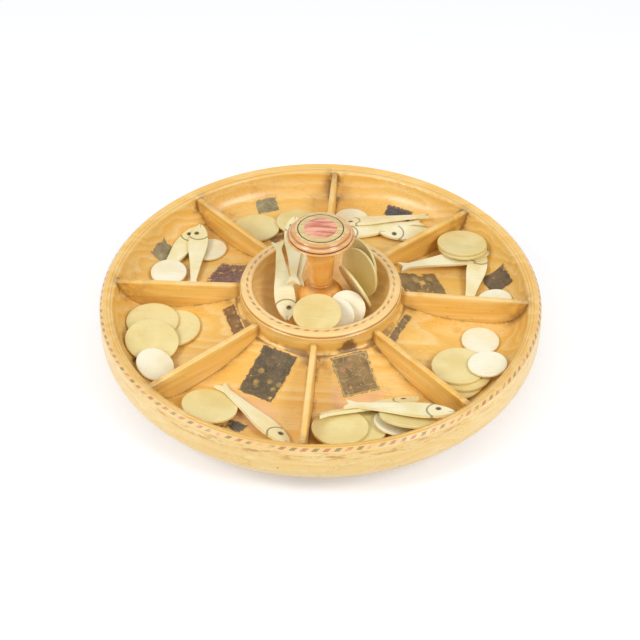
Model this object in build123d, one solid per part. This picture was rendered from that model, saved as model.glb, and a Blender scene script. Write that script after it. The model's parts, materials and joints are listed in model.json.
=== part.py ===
from build123d import *
import math
import os

# Pope joan board: a turned wooden tray with eight pockets round a bowl, a knob on a
# pillar in the middle, and bone counters and fish in the pockets. The tray revolves
# on a low turned foot. Millimetres, +Z up. The origin is the middle of the foot's
# underside, on the table. The front, nearest the viewer, is -Y.

# Foot
FOOT_R = 76.0             # outside radius at the table
FOOT_H = 10.4             # height of the flat that carries the tray
FOOT_WAIST = 7.0          # how far the foot draws in under the tray
FOOT_PAD_W = 14.0         # width of the ring that stands on the table
FOOT_HOLLOW = 0.8         # the underside inside that ring is this much off the table
FOOT_TOE = 3.6            # height of the rounded edge at the table

# Bearing
WASHER_T = 0.6            # leather washer between foot and tray
WASHER_R = 30.0
WASHER_HOLE_R = 9.0
RUN_GAP = 0.1             # gap between faces that turn past each other
SPINDLE_R = 6.0           # spindle on the end of the pillar
SPINDLE_PLAY = 0.08       # radial clearance of the spindle in the foot
GLUE = 0.05               # glue line round what is let in
RECESS_R = 16.0           # recess under the foot for the washer and screw
RECESS_H = 4.5
PLATE_R = 11.0            # brass washer that holds the tray down
PLATE_T = 1.0
SCREW_R = 2.0
SCREW_L = 15.0            # length of the screw in the spindle
SCREW_HEAD_R = 4.0
SCREW_HEAD_H = 2.2
SCREW_SLOT_W = 0.9
SCREW_SLOT_H = 1.0

# Tray
BOARD_D = 280.0           # over the belly of the wall, 11 inches
FLOOR_T = 10.7            # wood under the lowest part of the floor
DISH_DEPTH = 21.2         # rim above the lowest part of the floor
RIM_W = 9.0               # width of the rim, from its inside to the belly's line
RIM_FALL = 3.0            # the rim's top slopes down this much to its inner edge
COVE_R = 20.0             # hollow where the wall meets the floor
FLOOR_FLAT_W = 7.5        # level ring of the floor, inside that hollow
HUB_SWEEP_R = 118.0       # radius of the floor's sweep up to the hub
BELLY_R = 12.0            # round of the belly below the wall
BELLY_RISE = 3.0          # underside at the belly above the underside at the foot
UNDER_FLAT_R = 84.0       # flat part of the underside
SHOULDER = 2.1            # sloped shoulder that holds the banding
WALL_LEAN = 0.9           # the wall draws in this much from belly to shoulder
LIP_W = 3.4               # small bead inside the scribed line on the rim
SCRIBE_W = 0.5
SCRIBE_H = 0.35
LIP_ROUND = 1.2
BANDING_W = 1.9           # strip of made-up banding let into the shoulder
BANDING_T = 0.8

# Hub and bowl
COLLAR_R = 51.2           # outside of the hub collar
COLLAR_FLARE = 1.8        # spread of the collar's foot
COLLAR_SINK = 1.3         # depth that the collar is let into the floor
COLLAR_RISE = 2.0         # top of the collar above the rim
QUIRK = 0.9               # groove under the bowl's bead
BOWL_R = 46.0             # outside of the bowl, inside the collar
BOWL_FIT = 0.1            # clearance of the bowl in collar and tray
BOWL_BASE_T = 10.9        # tray wood under the bowl
BOWL_OPEN_R = 43.3        # opening of the bowl
BOWL_DEPTH = 21.4
BOWL_COVE_R = 20.3        # round of the bowl's inside
BEAD_H = 2.2              # height of the bowl's bead over the collar
BEAD_OUT = 0.7            # the bead stops this much inside the collar's face
BOWL_LIP = 1.2
BOWL_BANDING_R = 46.4     # middle of the banding in the bead
BOWL_BANDING_W = 1.3
BOWL_BANDING_T = 0.7

# Dividers
POCKETS = 8
DIVIDER_T = 3.8
DIVIDER_WALL_DROP = 3.2   # top edge below the rim at the wall
DIVIDER_HUB_DROP = 1.0    # and at the collar
DIVIDER_ROUND = 1.3

# Pillar
BASE_R = 14.5             # bell-shaped base that stands in the bowl
BASE_H = 19.2             # height of the bell over the bowl's floor
BASE_SHOULDER_H = 9.0     # height where the bell starts to round over
NECK_R = 7.2
NECK_H = 2.6
RING_R = 8.0              # small ring over the neck
RING_H = 1.4
STEM_R = 7.5              # stem at its foot
STEM_TOP_R = 10.2
STEM_H = 30.6
TENON_R = 5.0             # tenon in the knob
TENON_H = 6.0

# Knob
KNOB_R = 21.0
KNOB_UNDER_H = 4.6        # widest line of the knob above its underside
KNOB_BODY_H = 10.4        # top face above the underside
KNOB_TOP_R = 16.4         # edge of the top face
KNOB_CROWN = 0.9          # rise of the top face to its middle
KNOB_SOCKET_SPARE = 0.3   # space over the tenon
EDGE_LINE_R = 19.6        # dark stringing in the knob's shoulder
EDGE_LINE_W = 0.8
EDGE_LINE_T = 0.6
GROOVE_R = 18.0           # groove turned above the stringing
INLAY_T = 1.2             # thickness of the veneers in the top face
DISC_R = 10.1             # striped disc in the middle
PALE_RING_R = 13.6
DARK_RING_R = 14.3
BUFF_RING_R = 15.8

# Paper labels
LABEL_T = 0.2
HUB_LABEL_W = 25.0        # across the pocket
HUB_LABEL_GAP = 0.2       # between the collar's foot and the paper
RIM_LABEL_W = 20.0
RIM_LABEL_L = 17.0

# Counters
LARGE_R = 16.5
MEDIUM_R = 15.0
SMALL_R = 11.8
COUNTER_T = 1.8
SMALL_T = 1.6
COUNTER_EDGE = 0.4        # rounding of a counter's edge
FISH_L = 64.0
FISH_HALF_W = 6.5         # half the width at the shoulder
FISH_T = 1.8
FISH_ROOT_W = 1.8         # half the width where the tail starts
FISH_FORK_W = 4.2         # half the width across the fork
FISH_FORK_D = 2.6         # depth of the fork's notch
FISH_TAIL_L = 7.0
FISH_SNOUT_W = 0.5        # half the width at the blunt nose
FISH_SIDE = ((3.5, 0.5), (12, 0.93), (22, 1.0), (36, 0.68), (50, 0.4))  # behind the nose, share of width
FISH_EYE_R = 0.9
FISH_EYE_BACK = 9.5       # eye behind the nose
FISH_EYE_UP = 1.6
FISH_GILL_R = 7.6         # arc of the gill line round the eye
FISH_GILL_W = 0.6
FISH_GILL_D = 0.3
BROKEN_AT = -11.0         # where the one broken fish has snapped, from its middle
REST_GAP = 0.15           # space left under a counter where it rests

# Heights and radii that follow from the sizes above
UNDER_H = FOOT_H + WASHER_T + RUN_GAP
FLOOR_H = UNDER_H + FLOOR_T
RIM_H = FLOOR_H + DISH_DEPTH
BOARD_R = BOARD_D / 2
INNER_R = BOARD_R - RIM_W
COVE = min(COVE_R, DISH_DEPTH - LIP_ROUND)
COVE_START_R = INNER_R - COVE
FLOOR_LOW_R = COVE_START_R - FLOOR_FLAT_W
SHOULDER_R = BOARD_R - WALL_LEAN
RIM_TOP_R = SHOULDER_R - SHOULDER
LIP_H = RIM_H - RIM_FALL - LIP_ROUND
COLLAR_TOP_H = RIM_H + COLLAR_RISE
COLLAR_FOOT_R = COLLAR_R + COLLAR_FLARE
HUB_LABEL_START_R = COLLAR_FOOT_R + HUB_LABEL_GAP
BOWL_SEAT_H = UNDER_H + BOWL_BASE_T
BOWL_TOP_H = COLLAR_TOP_H + BEAD_H
BOWL_FLOOR_H = BOWL_TOP_H - BOWL_DEPTH
BOWL_COVE = min(BOWL_COVE_R, BOWL_DEPTH - BOWL_LIP)
BOWL_COVE_START_R = BOWL_OPEN_R - BOWL_COVE
DIVIDER_WALL_H = RIM_H - DIVIDER_WALL_DROP
DIVIDER_HUB_H = RIM_H - DIVIDER_HUB_DROP
BASE_TOP_H = BOWL_FLOOR_H + BASE_H
STEM_FOOT_H = BASE_TOP_H + NECK_H + RING_H
KNOB_H = STEM_FOOT_H + STEM_H
KNOB_TOP_H = KNOB_H + KNOB_BODY_H
SPINDLE_END_H = RECESS_H - RUN_GAP
STEP_DEG = 360 / POCKETS


def floor_height(r, paper=0.0):
    """Height of the dished floor at radius r, or of paper of some thickness on it."""
    if r <= FLOOR_LOW_R:
        away = FLOOR_LOW_R - r
        return FLOOR_H + HUB_SWEEP_R - math.sqrt((HUB_SWEEP_R - paper) ** 2 - away ** 2)
    if r <= COVE_START_R:
        return FLOOR_H + paper
    away = min(r - COVE_START_R, COVE - paper)
    return FLOOR_H + COVE - math.sqrt((COVE - paper) ** 2 - away ** 2)


def rim_height(r):
    """Height of the rim's sloping top at radius r."""
    return RIM_H - RIM_FALL * (RIM_TOP_R - r) / (RIM_TOP_R - INNER_R)


def divider_top(r):
    """Height of a divider's top edge at radius r."""
    share = (r - COLLAR_R) / (INNER_R - COLLAR_R)
    return DIVIDER_HUB_H + (DIVIDER_WALL_H - DIVIDER_HUB_H) * share


def bowl_height(r):
    """Height of the inside of the bowl at radius r."""
    away = min(max(r - BOWL_COVE_START_R, 0), BOWL_COVE)
    return BOWL_FLOOR_H + BOWL_COVE - math.sqrt(BOWL_COVE ** 2 - away ** 2)


def on_arc(centre, radius, deg):
    """A point on a circle, as radius from the axis and height."""
    angle = math.radians(deg)
    return (centre[0] + radius * math.cos(angle), centre[1] + radius * math.sin(angle))


def outline(start, *steps):
    """A closed outline: a step of one point is a line to it, of two points an arc."""
    edges = []
    here = start
    for step in steps:
        if isinstance(step[0], tuple):
            edges.append(ThreePointArc(here, step[0], step[1]))
            here = step[1]
        elif math.dist(here, step) > 0.001:
            edges.append(Line(here, step))
            here = step
    edges.append(Line(here, start))
    return make_face(edges)


def turned(start, *steps):
    """A lathe-turned piece from an outline of radius and height."""
    return revolve(Plane.XZ * outline(start, *steps), Axis.Z)


def ring(inner, outer, low, high):
    return turned((inner, low), (outer, low), (outer, high), (inner, high))


def spun(part, deg):
    return Rot(0, 0, deg) * part


# Foot and bearing
def make_foot():
    waist_r = FOOT_R - FOOT_WAIST
    toe = FOOT_TOE / 2
    bore_r = SPINDLE_R + SPINDLE_PLAY
    pad_r = FOOT_R - FOOT_PAD_W
    return turned(
        (bore_r, RECESS_H),
        (RECESS_R, RECESS_H),
        (RECESS_R, FOOT_HOLLOW),
        (pad_r, FOOT_HOLLOW),
        (pad_r + FOOT_HOLLOW, 0),
        (FOOT_R - toe, 0),
        (on_arc((FOOT_R - toe, toe), toe, 0), (FOOT_R - toe, FOOT_TOE)),
        ((waist_r + toe / 2, (FOOT_TOE + FOOT_H) / 2 - toe / 2), (waist_r, FOOT_H)),
        (bore_r, FOOT_H),
    )


def make_bearing_washer():
    return ring(WASHER_HOLE_R, WASHER_R, FOOT_H, FOOT_H + WASHER_T)


def make_retaining_washer():
    low = SPINDLE_END_H - PLATE_T
    return ring(SCREW_R + GLUE, PLATE_R, low, SPINDLE_END_H)


def make_retaining_screw():
    under = SPINDLE_END_H - PLATE_T
    crown = SCREW_HEAD_H * 0.4
    screw = turned(
        (0, under - SCREW_HEAD_H),
        (SCREW_HEAD_R - crown, under - SCREW_HEAD_H),
        (on_arc((SCREW_HEAD_R - crown, under - SCREW_HEAD_H + crown), crown, -45),
         (SCREW_HEAD_R, under - SCREW_HEAD_H + crown)),
        (SCREW_HEAD_R, under),
        (SCREW_R, under),
        (SCREW_R, SPINDLE_END_H + SCREW_L - SCREW_R * 2),
        (0, SPINDLE_END_H + SCREW_L),
    )
    slot_z = under - SCREW_HEAD_H + SCREW_SLOT_H / 2
    slot = Pos(0, 0, slot_z) * Box(3 * SCREW_HEAD_R, SCREW_SLOT_W, SCREW_SLOT_H)
    return screw - slot


# Tray
def make_rim_banding():
    """The strip in the sloped shoulder, square to the slope."""
    mid = (SHOULDER_R - SHOULDER / 2, RIM_H - SHOULDER / 2)
    along = (-math.sqrt(0.5), math.sqrt(0.5))
    inward = (-math.sqrt(0.5), -math.sqrt(0.5))

    def corner(side, deep):
        return (mid[0] + along[0] * side * BANDING_W / 2 + inward[0] * deep,
                mid[1] + along[1] * side * BANDING_W / 2 + inward[1] * deep)

    return turned(corner(-1, 0), corner(1, 0), corner(1, BANDING_T), corner(-1, BANDING_T))


def make_tray(banding):
    belly = (BOARD_R - BELLY_R, UNDER_H + BELLY_RISE + BELLY_R)
    cove = (COVE_START_R, FLOOR_H + COVE)
    shoulder_h = RIM_H - SHOULDER
    wall_mid = (BOARD_R - WALL_LEAN / 4, (shoulder_h + belly[1]) / 2)
    under_mid_r = (UNDER_FLAT_R + belly[0]) / 2
    collar_seat_h = floor_height(COLLAR_FOOT_R) - COLLAR_SINK
    sweep_mid_r = (FLOOR_LOW_R + COLLAR_FOOT_R) / 2
    bore_r = BOWL_R + BOWL_FIT
    spindle_r = SPINDLE_R + GLUE
    scribe_r = INNER_R + LIP_W
    lip_deg = -math.degrees(math.asin((cove[1] - LIP_H) / COVE))
    lip_r = on_arc(cove, COVE, lip_deg)[0]
    lip = (lip_r + LIP_ROUND, LIP_H)
    tray = turned(
        (spindle_r, UNDER_H),
        (UNDER_FLAT_R, UNDER_H),
        ((under_mid_r, UNDER_H + BELLY_RISE * 0.35), (belly[0], belly[1] - BELLY_R)),
        (on_arc(belly, BELLY_R, -45), (BOARD_R, belly[1])),
        (wall_mid, (SHOULDER_R, shoulder_h)),
        (RIM_TOP_R, RIM_H),
        (scribe_r + SCRIBE_W / 2, rim_height(scribe_r + SCRIBE_W / 2)),
        (scribe_r, rim_height(scribe_r) - SCRIBE_H),
        (scribe_r - SCRIBE_W / 2, rim_height(scribe_r - SCRIBE_W / 2)),
        (lip[0] + LIP_ROUND / 2, rim_height(lip[0] + LIP_ROUND / 2)),
        (on_arc(lip, LIP_ROUND, 135), (lip_r, LIP_H)),
        (on_arc(cove, COVE, (lip_deg - 90) / 2), (COVE_START_R, FLOOR_H)),
        (FLOOR_LOW_R, FLOOR_H),
        ((sweep_mid_r, floor_height(sweep_mid_r)), (COLLAR_FOOT_R, floor_height(COLLAR_FOOT_R))),
        (COLLAR_FOOT_R, collar_seat_h),
        (bore_r, collar_seat_h),
        (bore_r, BOWL_SEAT_H),
        (spindle_r, BOWL_SEAT_H),
    )
    return tray - banding


def make_hub_collar():
    seat = floor_height(COLLAR_FOOT_R) - COLLAR_SINK
    foot_h = floor_height(COLLAR_FOOT_R)
    flare = (COLLAR_R + COLLAR_FLARE * 0.3, foot_h + COLLAR_FLARE * 0.45)
    bore_r = BOWL_R + BOWL_FIT
    return turned(
        (bore_r, seat),
        (COLLAR_FOOT_R, seat),
        (COLLAR_FOOT_R, foot_h),
        (flare, (COLLAR_R, foot_h + COLLAR_FLARE * 1.3)),
        (COLLAR_R, COLLAR_TOP_H - QUIRK),
        (COLLAR_R - QUIRK, COLLAR_TOP_H),
        (bore_r, COLLAR_TOP_H),
    )


# Bowl
def make_bowl_banding():
    half = BOWL_BANDING_W / 2
    low = BOWL_TOP_H - BOWL_BANDING_T
    return ring(BOWL_BANDING_R - half, BOWL_BANDING_R + half, low, BOWL_TOP_H)


def make_bowl(banding):
    bead_r = COLLAR_R - BEAD_OUT
    bead = BEAD_H / 2
    cove = (BOWL_COVE_START_R, BOWL_FLOOR_H + BOWL_COVE)
    bowl = turned(
        (SPINDLE_R + GLUE, BOWL_SEAT_H),
        (BOWL_R - BOWL_LIP, BOWL_SEAT_H),
        (BOWL_R, BOWL_SEAT_H + BOWL_LIP),
        (BOWL_R, COLLAR_TOP_H),
        (bead_r - bead * 0.4, COLLAR_TOP_H),
        ((bead_r, COLLAR_TOP_H + bead * 0.6), (bead_r - bead * 0.5, COLLAR_TOP_H + bead * 1.4)),
        ((bead_r - bead * 1.2, BOWL_TOP_H - bead * 0.15), (bead_r - bead * 2, BOWL_TOP_H)),
        (BOWL_OPEN_R + BOWL_LIP, BOWL_TOP_H),
        (on_arc((BOWL_OPEN_R + BOWL_LIP, BOWL_TOP_H - BOWL_LIP), BOWL_LIP, 135),
         (BOWL_OPEN_R, BOWL_TOP_H - BOWL_LIP)),
        (BOWL_OPEN_R, BOWL_FLOOR_H + BOWL_COVE),
        (on_arc(cove, BOWL_COVE, -45), (BOWL_COVE_START_R, BOWL_FLOOR_H)),
        (SPINDLE_R + GLUE, BOWL_FLOOR_H),
    )
    return bowl - banding


# Dividers
def make_divider(number, tray, collar):
    """A board on edge between the collar and the wall, scribed to the dished floor."""
    inner = COLLAR_R
    outer = INNER_R + COLLAR_FLARE
    low = UNDER_H + FLOOR_T / 2
    side = Polyline((inner, low), (outer, low), (outer, divider_top(outer)), (inner, divider_top(inner)),
                    close=True)
    blank = extrude(Plane.XZ * make_face(side), DIVIDER_T / 2, both=True)
    top_h = divider_top((inner + outer) / 2)
    top = [edge for edge in blank.edges() if abs(edge.center().Z - top_h) < 0.01]
    blank = fillet(top, min(DIVIDER_ROUND, DIVIDER_T * 0.4))
    divider = blank - tray - collar
    divider = max(divider.solids(), key=lambda solid: solid.volume)
    return spun(divider, -90 + STEP_DEG * number)


# Pillar and knob
def bell_height(r):
    """Height of the pillar's bell over the bowl's floor at radius r."""
    if r >= BASE_R:
        return 0
    share = max(r - NECK_R, 0) / (BASE_R - NECK_R)
    return BASE_SHOULDER_H + (BASE_H - BASE_SHOULDER_H) * math.sqrt(1 - share ** 2)


def make_pillar(screw):
    shoulder_h = BOWL_FLOOR_H + BASE_SHOULDER_H
    mid_r = NECK_R + (BASE_R - NECK_R) * math.sqrt(0.5)
    neck_top = BASE_TOP_H + NECK_H
    pillar = turned(
        (0, SPINDLE_END_H),
        (SPINDLE_R, SPINDLE_END_H),
        (SPINDLE_R, BOWL_FLOOR_H),
        (BASE_R, BOWL_FLOOR_H),
        (BASE_R, shoulder_h),
        ((mid_r, BOWL_FLOOR_H + bell_height(mid_r)), (NECK_R + 0.4, BASE_TOP_H)),
        ((NECK_R, BASE_TOP_H + NECK_H / 2), (NECK_R, neck_top)),
        (STEM_R, neck_top),
        ((RING_R, neck_top + RING_H / 2), (STEM_R, STEM_FOOT_H)),
        (((STEM_R + STEM_TOP_R) / 2 - 0.25, STEM_FOOT_H + STEM_H / 2), (STEM_TOP_R, KNOB_H)),
        (TENON_R, KNOB_H),
        (TENON_R, KNOB_H + TENON_H),
        (0, KNOB_H + TENON_H),
    )
    return pillar - screw


def crown(r):
    """Height of the knob's slightly domed top at radius r."""
    return KNOB_TOP_H - KNOB_CROWN * (r / KNOB_TOP_R) ** 2


def make_inlay(inner, outer):
    """A ring or disc of veneer let into the top of the knob."""
    return turned((inner, KNOB_TOP_H - KNOB_CROWN - INLAY_T), (outer, KNOB_TOP_H - KNOB_CROWN - INLAY_T),
                  (outer, crown(outer)), (inner, crown(inner)))


def make_edge_line():
    """Dark stringing let into the knob's shoulder."""
    middle_h = KNOB_H + KNOB_UNDER_H + EDGE_LINE_W
    low = middle_h - EDGE_LINE_W / 2
    return ring(EDGE_LINE_R - EDGE_LINE_T, EDGE_LINE_R, low, low + EDGE_LINE_W)


def make_knob(inlays, edge_line):
    wide_h = KNOB_H + KNOB_UNDER_H
    line_h = wide_h + EDGE_LINE_W
    socket_r = TENON_R + GLUE
    socket_top = KNOB_H + TENON_H + KNOB_SOCKET_SPARE
    shoulder_h = KNOB_TOP_H - KNOB_CROWN
    knob = turned(
        (socket_r, KNOB_H),
        (STEM_TOP_R, KNOB_H),
        ((STEM_TOP_R + 3.6, KNOB_H + KNOB_UNDER_H * 0.42), (KNOB_R - 1.6, KNOB_H + KNOB_UNDER_H * 0.72)),
        ((KNOB_R - 0.35, wide_h - 0.7), (KNOB_R, wide_h)),
        ((KNOB_R - 0.3, wide_h + EDGE_LINE_W * 0.35), (EDGE_LINE_R, line_h - EDGE_LINE_W / 2)),
        (EDGE_LINE_R, line_h + EDGE_LINE_W / 2),
        ((EDGE_LINE_R - 0.5, line_h + 1.6), (GROOVE_R + 0.3, shoulder_h - 1.9)),
        (GROOVE_R, shoulder_h - 1.6),
        ((GROOVE_R - 0.2, shoulder_h - 0.9), (KNOB_TOP_R + 0.9, shoulder_h - 0.35)),
        (KNOB_TOP_R, shoulder_h),
        (0, shoulder_h),
        (0, socket_top),
        (socket_r, socket_top),
    )
    for inlay in inlays:
        knob = knob - inlay
    return knob - edge_line


# Paper labels
def make_label(skin, middle_r, deg, length, width):
    """A rectangle of paper that follows the floor, its length along the pocket."""
    cutter = Pos(middle_r, 0, RIM_H / 2 + UNDER_H) * Box(length, width, RIM_H)
    label = skin & spun(cutter, deg)
    return max(label.solids(), key=lambda solid: solid.volume)


def make_label_skin():
    """The thin layer on the floor that the labels are cut from."""
    start_r = HUB_LABEL_START_R
    cove = (COVE_START_R, FLOOR_H + COVE)
    middle_r = (FLOOR_LOW_R + start_r) / 2
    paper = COVE - LABEL_T
    return turned(
        (start_r, floor_height(start_r)),
        ((middle_r, floor_height(middle_r)), (FLOOR_LOW_R, FLOOR_H)),
        (COVE_START_R, FLOOR_H),
        (on_arc(cove, COVE, -52), on_arc(cove, COVE, -15)),
        on_arc(cove, paper, -15),
        (on_arc(cove, paper, -52), (COVE_START_R, FLOOR_H + LABEL_T)),
        (FLOOR_LOW_R, FLOOR_H + LABEL_T),
        ((middle_r, floor_height(middle_r, LABEL_T)), (start_r, floor_height(start_r, LABEL_T))),
    )


# Counters
def make_disc(radius, thickness):
    disc = Pos(0, 0, thickness / 2) * Cylinder(radius, thickness)
    return fillet(disc.edges(), COUNTER_EDGE)


def fish_side():
    """Half outline of a fish from nose to tail, as distance from the middle and half width."""
    nose = FISH_L / 2
    side = [(nose - behind, FISH_HALF_W * share) for behind, share in FISH_SIDE]
    return [(nose, FISH_SNOUT_W)] + side + [(FISH_TAIL_L - nose, FISH_ROOT_W)]


def make_fish():
    """A flat bone fish, nose at +X, with a drilled eye, a gill line and a forked tail."""
    side = fish_side()
    tail = -FISH_L / 2
    upper = Spline(*side)
    lower = Spline(*[(x, -y) for x, y in side])
    root = side[-1]
    snout = Line(side[0], (side[0][0], -side[0][1]))
    fork = Polyline(root, (tail, FISH_FORK_W), (tail + FISH_FORK_D, 0), (tail, -FISH_FORK_W),
                    (root[0], -root[1]))
    edges = [upper, lower, snout] + list(fork.edges())
    body = extrude(make_face(edges), FISH_T)
    eye_x = FISH_L / 2 - FISH_EYE_BACK
    eye = Pos(eye_x, FISH_EYE_UP, FISH_T / 2) * Cylinder(FISH_EYE_R, 2 * FISH_T)
    gill = Pos(eye_x + 1, 0, FISH_T) * (Cylinder(FISH_GILL_R + FISH_GILL_W / 2, 2 * FISH_GILL_D)
                                        - Cylinder(FISH_GILL_R - FISH_GILL_W / 2, 2 * FISH_GILL_D))
    behind = Pos(eye_x + 1 - FISH_L / 4, 0, FISH_T) * Box(FISH_L / 2 - FISH_GILL_R, FISH_L, FISH_T)
    return body - eye - (gill & behind)


def break_fish(fish, keep_head):
    """One half of a fish that has snapped across."""
    far = FISH_L if keep_head else -FISH_L
    keep = Pos(BROKEN_AT + far / 2, 0, 0) * Box(FISH_L, FISH_L, 4 * FISH_T)
    return fish & keep


# How a loose counter comes to rest. Each one is a flat plate with its own outline. It
# is let down over its place until it lies on three points of what is under it: the
# dished floor, the wall, a divider's top or the counters already there.
def under_counter(x, y):
    """Height of the wood or paper under a point of a pocket, or of the bowl."""
    r = math.hypot(x, y)
    if r < RING_R + REST_GAP:
        return KNOB_H
    if r < COLLAR_FOOT_R:
        if r > BOWL_OPEN_R:
            return BOWL_TOP_H
        return max(bowl_height(r), BOWL_FLOOR_H + bell_height(r - REST_GAP))
    turn = math.degrees(math.atan2(y, x)) + 90
    off = (turn + STEP_DEG / 2) % STEP_DEG - STEP_DEG / 2
    if abs(r * math.sin(math.radians(off))) < DIVIDER_T / 2 + REST_GAP:
        return divider_top(r)
    if r > INNER_R - LABEL_T:
        return RIM_H
    return floor_height(r, LABEL_T)


class Plate:
    """A flat counter at rest: its outline, and the plane of its underside."""

    def __init__(self, kind, x, y, heading, look=0.0, lean=0.0, z=0.0):
        self.x = x
        self.y = y
        self.z = z
        self.heading = heading
        steep = math.tan(math.radians(lean))
        self.slope = (-steep * math.cos(math.radians(look)), -steep * math.sin(math.radians(look)))
        self.thickness = SMALL_T if kind == "small" else COUNTER_T
        self.radius = {"large": LARGE_R, "medium": MEDIUM_R, "small": SMALL_R}.get(kind)
        self.tail = BROKEN_AT if kind == "fish head" else -FISH_L / 2
        self.nose = BROKEN_AT if kind == "fish tail" else FISH_L / 2
        self.points = self.fish_points() if self.radius is None else self.disc_points()
        if self.radius is None:
            self.thickness = FISH_T

    def half(self, u):
        """Half the width at distance u from the middle, or nothing past the ends."""
        if self.radius is not None:
            return math.sqrt(self.radius ** 2 - u ** 2) if abs(u) < self.radius else None
        if not self.tail - REST_GAP < u < self.nose + REST_GAP:
            return None
        side = fish_side() + [(-FISH_L / 2 - REST_GAP, FISH_FORK_W)]
        for (x1, y1), (x0, y0) in zip(side, side[1:]):
            if x0 <= u <= x1:
                return y0 + (y1 - y0) * (u - x0) / (x1 - x0) + REST_GAP
        return side[0][1]

    def disc_points(self):
        points = [(0.0, 0.0)]
        for share, count in ((0.4, 8), (0.75, 16), (1.0, 48)):
            for i in range(count):
                turn = 2 * math.pi * i / count
                reach = self.radius * share
                points.append((reach * math.cos(turn), reach * math.sin(turn)))
        return points

    def fish_points(self):
        points = []
        steps = 30
        for i in range(steps + 1):
            u = self.tail + (self.nose - self.tail) * i / steps
            half = self.half(u)
            points += [(u, half * share) for share in (-1, -0.5, 0, 0.5, 1)]
        return points

    def axes(self):
        """Unit vectors along the plate, across it and out of its upper face."""
        gx, gy = self.slope
        up = Vector(-gx, -gy, 1).normalized()
        c = math.cos(math.radians(self.heading))
        s = math.sin(math.radians(self.heading))
        along = Vector(c, s, gx * c + gy * s).normalized()
        return along, up.cross(along), up

    def place(self, solid):
        along, across, up = self.axes()
        return Plane(origin=(self.x, self.y, self.z), x_dir=along, z_dir=up).location * solid

    def spots(self, lift):
        """Points of the face that is this much above the underside."""
        along, across, up = self.axes()
        middle = Vector(self.x, self.y, self.z) + up * lift
        return [middle + along * u + across * v for u, v in self.points]

    def face_over(self, x, y, lift):
        """Height of that face straight over a point, or nothing beside the plate."""
        along, across, up = self.axes()
        gx, gy = self.slope
        away = Vector(x - self.x, y - self.y, gx * (x - self.x) + gy * (y - self.y) + lift / up.Z)
        half = self.half(away.dot(along))
        if half is None or abs(away.dot(across)) > half:
            return None
        return self.z + away.Z

    def loads(self, under, faces):
        """What holds the plate up: for each point over something, x, y and the height wanted."""
        found = []
        for lift in faces:
            for spot in self.spots(lift):
                heights = [under_counter(spot.X, spot.Y)]
                heights += [other.face_over(spot.X, spot.Y, other.thickness) for other in under]
                height = max(h for h in heights if h is not None)
                found.append((spot.X - self.x, spot.Y - self.y, height, height - spot.Z))
        for other in under:
            for lift in (0, other.thickness):
                for spot in other.spots(lift):
                    below = self.face_over(spot.X, spot.Y, 0)
                    if below is not None:
                        found.append((spot.X - self.x, spot.Y - self.y, spot.Z, spot.Z - below))
        return found

    def lay(self, under):
        """Let the plate down flat until it lies on three points, then leave a hair of air."""
        for _ in range(4):
            self.z, gx, gy = resting_plane([load[:3] for load in self.loads(under, [0])])
            self.slope = (gx, gy)
        self.z += max(load[3] for load in self.loads(under, [0, self.thickness])) + REST_GAP


def plane_through(three):
    """Height at the middle and the two slopes of the plane through three points."""
    (x0, y0, z0), (x1, y1, z1), (x2, y2, z2) = three
    area = (x1 - x0) * (y2 - y0) - (x2 - x0) * (y1 - y0)
    gx = ((z1 - z0) * (y2 - y0) - (z2 - z0) * (y1 - y0)) / area
    gy = ((x1 - x0) * (z2 - z0) - (x2 - x0) * (z1 - z0)) / area
    return z0 - gx * x0 - gy * y0, gx, gy


def holds_middle(three):
    """True if the plate's middle, taken a hair off centre, is inside three points."""
    spots = [(x - 0.013, y - 0.007) for x, y, _ in three]
    sides = [ax * by - bx * ay for (ax, ay), (bx, by) in zip(spots, spots[1:] + spots[:1])]
    return min(sides) > 1e-6 or max(sides) < -1e-6


def resting_plane(loads):
    """The plane over all the points whose height at the middle is least."""
    far = 1000.0
    held = [(far, 0.01, -far), (-far / 2, far, -far), (-far / 2, -far, -far)]
    for _ in range(300):
        z, gx, gy = plane_through(held)
        worst = max(loads, key=lambda p: p[2] - (z + gx * p[0] + gy * p[1]))
        if worst[2] - (z + gx * worst[0] + gy * worst[1]) < 1e-6:
            break
        for i in range(3):
            trial = held[:i] + [worst] + held[i + 1:]
            if holds_middle(trial):
                held = trial
                break
        else:
            break
    return plane_through(held)


# The contents of each pocket from the bottom up: kind, place of the middle, and the
# direction that a fish's nose points in. Pocket 1 is left of the front divider, and
# the pockets are numbered anticlockwise from there as seen from above. A steep one
# also has the direction that its upper face looks in, how far it leans and its height.
POCKET_CONTENTS = {
    1: [("large", -58, -95, 0), ("fish", -32, -97.5, -44)],
    2: [("large", 30.5, -104, 0), ("small", 50, -100.5, 0), ("large", 58, -98, 0),
        ("large", 19.5, -107, 0), ("fish", 35.5, -89.5, 23), ("fish", 53, -94.5, -5)],
    3: [("small", 102, -21.5, 0), ("large", 86.5, -60, 0), ("large", 91, -55, 0),
        ("large", 88, -51, 0), ("small", 105, -51.5, 0)],
    4: [("fish", 98.5, 34.5, 80), ("fish", 79, 49, 21), ("large", 91, 62, 0),
        ("large", 90.5, 63.5, 0), ("small", 111.5, 14.5, 0)],
    5: [("small", 14, 99, 0), ("fish", 34, 86, 200), ("fish", 36, 94, 190),
        ("fish head", 66.5, 84, 188)],
    6: [("large", -51.5, 81.5, 0), ("large", -21.5, 89.5, 0)],
    7: [("small", -80.5, 56, 0), ("fish", -101.5, 46.5, 72.5), ("fish", -87.5, 45, 94),
        ("small", -103.5, 27.5, 0)],
    8: [("large", -90.5, -26, 0), ("large", -105, -23, 0), ("large", -101.5, -43.5, 0),
        ("small", -96, -64, 0)],
}
PLACES_INNER_R = 131.0    # inside of the tray that these places are given for
PLACES_OPEN_R = 43.3      # opening of the bowl that they are given for
PLACES_TOP_H = 47.2       # and the height of its edge
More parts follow.
